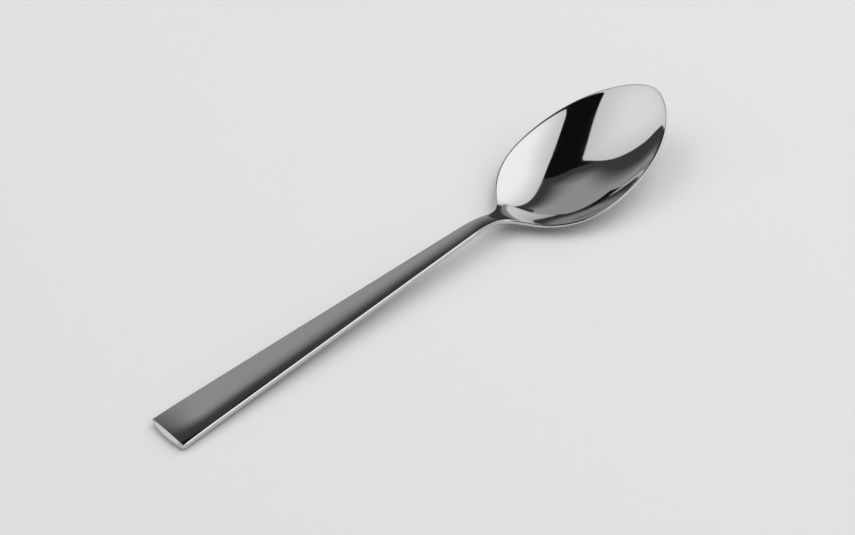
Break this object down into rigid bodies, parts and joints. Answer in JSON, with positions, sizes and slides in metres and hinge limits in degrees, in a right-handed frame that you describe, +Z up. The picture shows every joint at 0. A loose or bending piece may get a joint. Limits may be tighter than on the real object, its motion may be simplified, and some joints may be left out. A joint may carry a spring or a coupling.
{
  "type": "teaspoon",
  "caption": "Teaspoon with an egg-shaped bowl and a straight tapering handle with bevelled edges, formed in one piece.",
  "frame": {"origin": "on the table under the middle of the spoon's length and width", "axes": "+X from the handle's end to the bowl's tip, +Y across the spoon, +Z up from the table it lies on"},
  "size_m": [0.14, 0.0302, 0.0141],
  "materials": {
    "polished_steel": "mirror-polished stainless steel, not plated"
  },
  "bodies": {
    "root": {"teaspoon": "polished_steel"}
  },
  "joints": []
}
